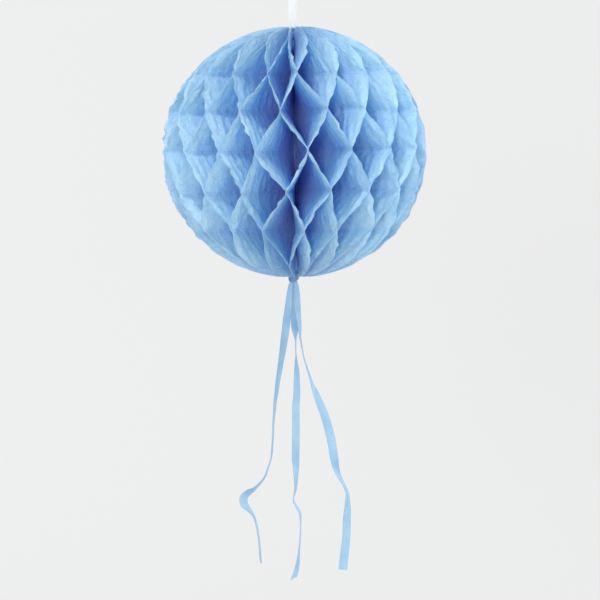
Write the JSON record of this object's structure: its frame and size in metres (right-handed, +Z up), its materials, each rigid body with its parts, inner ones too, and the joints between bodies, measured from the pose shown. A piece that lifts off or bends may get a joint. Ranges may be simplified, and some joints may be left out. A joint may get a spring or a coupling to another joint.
{
  "type": "paper honeycomb ball",
  "caption": "Hanging tissue-paper honeycomb ball that folds flat like a fan between two card covers, with a ribbon loop above it and loose ribbons below.",
  "frame": {"origin": "crown of the hanging loop, where the ball is hung up", "axes": "+Z up along the spine of the ball, -Y towards the viewer, +X to the viewer's right"},
  "size_m": [0.1512, 0.1516, 0.3806],
  "materials": {
    "tissue": "matte",
    "card": "matte",
    "tape": "satin",
    "thread": "matte",
    "white_ribbon": "satin",
    "blue_ribbon": "satin"
  },
  "bodies": {
    "hanger": {"hanger_loop": "white_ribbon", "hanger_knot": "white_ribbon", "hanger_ribbon": "white_ribbon", "hanger_tie": "thread"},
    "core": {"spine_binding": "tissue", "spine_thread": "thread", "thread_knot": "thread", "cover_first": "card", "tape_upper": "tape", "tape_lower": "tape", "ribbon_knot": "blue_ribbon"},
    "last_cover": {"cover_last": "card"},
    "sheet_01": {"sheet_01": "tissue"},
    "sheet_02": {"sheet_02": "tissue"},
    "sheet_03": {"sheet_03": "tissue"},
    "sheet_04": {"sheet_04": "tissue"},
    "sheet_05": {"sheet_05": "tissue"},
    "sheet_06": {"sheet_06": "tissue"},
    "sheet_07": {"sheet_07": "tissue"},
    "sheet_08": {"sheet_08": "tissue"},
    "sheet_09": {"sheet_09": "tissue"},
    "sheet_10": {"sheet_10": "tissue"},
    "sheet_11": {"sheet_11": "tissue"},
    "sheet_12": {"sheet_12": "tissue"},
    "sheet_13": {"sheet_13": "tissue"},
    "sheet_14": {"sheet_14": "tissue"},
    "sheet_15": {"sheet_15": "tissue"},
    "sheet_16": {"sheet_16": "tissue"},
    "sheet_17": {"sheet_17": "tissue"},
    "sheet_18": {"sheet_18": "tissue"},
    "sheet_19": {"sheet_19": "tissue"},
    "sheet_20": {"sheet_20": "tissue"},
    "sheet_21": {"sheet_21": "tissue"},
    "sheet_22": {"sheet_22": "tissue"},
    "sheet_23": {"sheet_23": "tissue"},
    "sheet_24": {"sheet_24": "tissue"},
    "sheet_25": {"sheet_25": "tissue"},
    "sheet_26": {"sheet_26": "tissue"},
    "sheet_27": {"sheet_27": "tissue"},
    "sheet_28": {"sheet_28": "tissue"},
    "sheet_29": {"sheet_29": "tissue"},
    "sheet_30": {"sheet_30": "tissue"},
    "sheet_31": {"sheet_31": "tissue"},
    "sheet_32": {"sheet_32": "tissue"},
    "sheet_33": {"sheet_33": "tissue"},
    "sheet_34": {"sheet_34": "tissue"},
    "sheet_35": {"sheet_35": "tissue"},
    "sheet_36": {"sheet_36": "tissue"},
    "left_tail": {"ribbon_left": "blue_ribbon"},
    "middle_tail": {"ribbon_middle": "blue_ribbon"},
    "right_tail": {"ribbon_right": "blue_ribbon"}
  },
  "joints": [
    {"name": "ball_spin", "type": "hinge", "parent": "hanger", "child": "core", "pos_m": [0, 0, -0.1325], "axis": [0, 0, 1], "continuous": true},
    {"name": "fan_fold", "type": "hinge", "parent": "core", "child": "last_cover", "pos_m": [0, 0, -0.1325], "axis": [0, 0, 1], "range_deg": [-350, 0], "deforming": ["sheet_01", "sheet_02", "sheet_03", "sheet_04", "sheet_05", "sheet_06", "sheet_07", "sheet_08", "sheet_09", "sheet_10", "sheet_11", "sheet_12", "sheet_13", "sheet_14", "sheet_15", "sheet_16", "sheet_17", "sheet_18", "sheet_19", "sheet_20", "sheet_21", "sheet_22", "sheet_23", "sheet_24", "sheet_25", "sheet_26", "sheet_27", "sheet_28", "sheet_29", "sheet_30", "sheet_31", "sheet_32", "sheet_33", "sheet_34", "sheet_35", "sheet_36"]},
    {"name": "sheet_01_turn", "type": "hinge", "parent": "core", "child": "sheet_01", "pos_m": [0, 0, -0.1325], "axis": [0, 0, 1], "range_deg": [-4.87, 0]},
    {"name": "sheet_02_turn", "type": "hinge", "parent": "core", "child": "sheet_02", "pos_m": [0, 0, -0.1325], "axis": [0, 0, 1], "range_deg": [-14.59, 0]},
    {"name": "sheet_03_turn", "type": "hinge", "parent": "core", "child": "sheet_03", "pos_m": [0, 0, -0.1325], "axis": [0, 0, 1], "range_deg": [-24.32, 0]},
    {"name": "sheet_04_turn", "type": "hinge", "parent": "core", "child": "sheet_04", "pos_m": [0, 0, -0.1325], "axis": [0, 0, 1], "range_deg": [-34.04, 0]},
    {"name": "sheet_05_turn", "type": "hinge", "parent": "core", "child": "sheet_05", "pos_m": [0, 0, -0.1325], "axis": [0, 0, 1], "range_deg": [-43.76, 0]},
    {"name": "sheet_06_turn", "type": "hinge", "parent": "core", "child": "sheet_06", "pos_m": [0, 0, -0.1325], "axis": [0, 0, 1], "range_deg": [-53.48, 0]},
    {"name": "sheet_07_turn", "type": "hinge", "parent": "core", "child": "sheet_07", "pos_m": [0, 0, -0.1325], "axis": [0, 0, 1], "range_deg": [-63.2, 0]},
    {"name": "sheet_08_turn", "type": "hinge", "parent": "core", "child": "sheet_08", "pos_m": [0, 0, -0.1325], "axis": [0, 0, 1], "range_deg": [-72.93, 0]},
    {"name": "sheet_09_turn", "type": "hinge", "parent": "core", "child": "sheet_09", "pos_m": [0, 0, -0.1325], "axis": [0, 0, 1], "range_deg": [-82.65, 0]},
    {"name": "sheet_10_turn", "type": "hinge", "parent": "core", "child": "sheet_10", "pos_m": [0, 0, -0.1325], "axis": [0, 0, 1], "range_deg": [-92.37, 0]},
    {"name": "sheet_11_turn", "type": "hinge", "parent": "core", "child": "sheet_11", "pos_m": [0, 0, -0.1325], "axis": [0, 0, 1], "range_deg": [-102.09, 0]},
    {"name": "sheet_12_turn", "type": "hinge", "parent": "core", "child": "sheet_12", "pos_m": [0, 0, -0.1325], "axis": [0, 0, 1], "range_deg": [-111.82, 0]},
    {"name": "sheet_13_turn", "type": "hinge", "parent": "core", "child": "sheet_13", "pos_m": [0, 0, -0.1325], "axis": [0, 0, 1], "range_deg": [-121.54, 0]},
    {"name": "sheet_14_turn", "type": "hinge", "parent": "core", "child": "sheet_14", "pos_m": [0, 0, -0.1325], "axis": [0, 0, 1], "range_deg": [-131.26, 0]},
    {"name": "sheet_15_turn", "type": "hinge", "parent": "core", "child": "sheet_15", "pos_m": [0, 0, -0.1325], "axis": [0, 0, 1], "range_deg": [-140.98, 0]},
    {"name": "sheet_16_turn", "type": "hinge", "parent": "core", "child": "sheet_16", "pos_m": [0, 0, -0.1325], "axis": [0, 0, 1], "range_deg": [-150.7, 0]},
    {"name": "sheet_17_turn", "type": "hinge", "parent": "core", "child": "sheet_17", "pos_m": [0, 0, -0.1325], "axis": [0, 0, 1], "range_deg": [-160.43, 0]},
    {"name": "sheet_18_turn", "type": "hinge", "parent": "core", "child": "sheet_18", "pos_m": [0, 0, -0.1325], "axis": [0, 0, 1], "range_deg": [-170.15, 0]},
    {"name": "sheet_19_turn", "type": "hinge", "parent": "core", "child": "sheet_19", "pos_m": [0, 0, -0.1325], "axis": [0, 0, 1], "range_deg": [-179.87, 0]},
    {"name": "sheet_20_turn", "type": "hinge", "parent": "core", "child": "sheet_20", "pos_m": [0, 0, -0.1325], "axis": [0, 0, 1], "range_deg": [-189.59, 0]},
    {"name": "sheet_21_turn", "type": "hinge", "parent": "core", "child": "sheet_21", "pos_m": [0, 0, -0.1325], "axis": [0, 0, 1], "range_deg": [-199.32, 0]},
    {"name": "sheet_22_turn", "type": "hinge", "parent": "core", "child": "sheet_22", "pos_m": [0, 0, -0.1325], "axis": [0, 0, 1], "range_deg": [-209.04, 0]},
    {"name": "sheet_23_turn", "type": "hinge", "parent": "core", "child": "sheet_23", "pos_m": [0, 0, -0.1325], "axis": [0, 0, 1], "range_deg": [-218.76, 0]},
    {"name": "sheet_24_turn", "type": "hinge", "parent": "core", "child": "sheet_24", "pos_m": [0, 0, -0.1325], "axis": [0, 0, 1], "range_deg": [-228.48, 0]},
    {"name": "sheet_25_turn", "type": "hinge", "parent": "core", "child": "sheet_25", "pos_m": [0, 0, -0.1325], "axis": [0, 0, 1], "range_deg": [-238.2, 0]},
    {"name": "sheet_26_turn", "type": "hinge", "parent": "core", "child": "sheet_26", "pos_m": [0, 0, -0.1325], "axis": [0, 0, 1], "range_deg": [-247.93, 0]},
    {"name": "sheet_27_turn", "type": "hinge", "parent": "core", "child": "sheet_27", "pos_m": [0, 0, -0.1325], "axis": [0, 0, 1], "range_deg": [-257.65, 0]},
    {"name": "sheet_28_turn", "type": "hinge", "parent": "core", "child": "sheet_28", "pos_m": [0, 0, -0.1325], "axis": [0, 0, 1], "range_deg": [-267.37, 0]},
    {"name": "sheet_29_turn", "type": "hinge", "parent": "core", "child": "sheet_29", "pos_m": [0, 0, -0.1325], "axis": [0, 0, 1], "range_deg": [-277.09, 0]},
    {"name": "sheet_30_turn", "type": "hinge", "parent": "core", "child": "sheet_30", "pos_m": [0, 0, -0.1325], "axis": [0, 0, 1], "range_deg": [-286.82, 0]},
    {"name": "sheet_31_turn", "type": "hinge", "parent": "core", "child": "sheet_31", "pos_m": [0, 0, -0.1325], "axis": [0, 0, 1], "range_deg": [-296.54, 0]},
    {"name": "sheet_32_turn", "type": "hinge", "parent": "core", "child": "sheet_32", "pos_m": [0, 0, -0.1325], "axis": [0, 0, 1], "range_deg": [-306.26, 0]},
    {"name": "sheet_33_turn", "type": "hinge", "parent": "core", "child": "sheet_33", "pos_m": [0, 0, -0.1325], "axis": [0, 0, 1], "range_deg": [-315.98, 0]},
    {"name": "sheet_34_turn", "type": "hinge", "parent": "core", "child": "sheet_34", "pos_m": [0, 0, -0.1325], "axis": [0, 0, 1], "range_deg": [-325.7, 0]},
    {"name": "sheet_35_turn", "type": "hinge", "parent": "core", "child": "sheet_35", "pos_m": [0, 0, -0.1325], "axis": [0, 0, 1], "range_deg": [-335.43, 0]},
    {"name": "sheet_36_turn", "type": "hinge", "parent": "core", "child": "sheet_36", "pos_m": [0, 0, -0.1325], "axis": [0, 0, 1], "range_deg": [-345.15, 0]},
    {"name": "left_ribbon_swing", "type": "hinge", "parent": "core", "child": "left_tail", "pos_m": [-0.0015, 0, -0.2045], "axis": [0, 1, 0], "range_deg": [0, 60]},
    {"name": "middle_ribbon_swing", "type": "hinge", "parent": "core", "child": "middle_tail", "pos_m": [-0.0015, 0, -0.2045], "axis": [1, 0, 0], "range_deg": [0, 60]},
    {"name": "right_ribbon_swing", "type": "hinge", "parent": "core", "child": "right_tail", "pos_m": [-0.0015, 0, -0.2045], "axis": [0, -1, 0], "range_deg": [0, 60]}
  ],
  "couplings": [
    {"joint": "sheet_01_turn", "follows": "fan_fold", "ratio": 0.013889},
    {"joint": "sheet_02_turn", "follows": "fan_fold", "ratio": 0.041667},
    {"joint": "sheet_03_turn", "follows": "fan_fold", "ratio": 0.069444},
    {"joint": "sheet_04_turn", "follows": "fan_fold", "ratio": 0.097222},
    {"joint": "sheet_05_turn", "follows": "fan_fold", "ratio": 0.125},
    {"joint": "sheet_06_turn", "follows": "fan_fold", "ratio": 0.15278},
    {"joint": "sheet_07_turn", "follows": "fan_fold", "ratio": 0.18056},
    {"joint": "sheet_08_turn", "follows": "fan_fold", "ratio": 0.20833},
    {"joint": "sheet_09_turn", "follows": "fan_fold", "ratio": 0.23611},
    {"joint": "sheet_10_turn", "follows": "fan_fold", "ratio": 0.26389},
    {"joint": "sheet_11_turn", "follows": "fan_fold", "ratio": 0.29167},
    {"joint": "sheet_12_turn", "follows": "fan_fold", "ratio": 0.31944},
    {"joint": "sheet_13_turn", "follows": "fan_fold", "ratio": 0.34722},
    {"joint": "sheet_14_turn", "follows": "fan_fold", "ratio": 0.375},
    {"joint": "sheet_15_turn", "follows": "fan_fold", "ratio": 0.40278},
    {"joint": "sheet_16_turn", "follows": "fan_fold", "ratio": 0.43056},
    {"joint": "sheet_17_turn", "follows": "fan_fold", "ratio": 0.45833},
    {"joint": "sheet_18_turn", "follows": "fan_fold", "ratio": 0.48611},
    {"joint": "sheet_19_turn", "follows": "fan_fold", "ratio": 0.51389},
    {"joint": "sheet_20_turn", "follows": "fan_fold", "ratio": 0.54167},
    {"joint": "sheet_21_turn", "follows": "fan_fold", "ratio": 0.56944},
    {"joint": "sheet_22_turn", "follows": "fan_fold", "ratio": 0.59722},
    {"joint": "sheet_23_turn", "follows": "fan_fold", "ratio": 0.625},
    {"joint": "sheet_24_turn", "follows": "fan_fold", "ratio": 0.65278},
    {"joint": "sheet_25_turn", "follows": "fan_fold", "ratio": 0.68056},
    {"joint": "sheet_26_turn", "follows": "fan_fold", "ratio": 0.70833},
    {"joint": "sheet_27_turn", "follows": "fan_fold", "ratio": 0.73611},
    {"joint": "sheet_28_turn", "follows": "fan_fold", "ratio": 0.76389},
    {"joint": "sheet_29_turn", "follows": "fan_fold", "ratio": 0.79167},
    {"joint": "sheet_30_turn", "follows": "fan_fold", "ratio": 0.81944},
    {"joint": "sheet_31_turn", "follows": "fan_fold", "ratio": 0.84722},
    {"joint": "sheet_32_turn", "follows": "fan_fold", "ratio": 0.875},
    {"joint": "sheet_33_turn", "follows": "fan_fold", "ratio": 0.90278},
    {"joint": "sheet_34_turn", "follows": "fan_fold", "ratio": 0.93056},
    {"joint": "sheet_35_turn", "follows": "fan_fold", "ratio": 0.95833},
    {"joint": "sheet_36_turn", "follows": "fan_fold", "ratio": 0.98611}
  ]
}
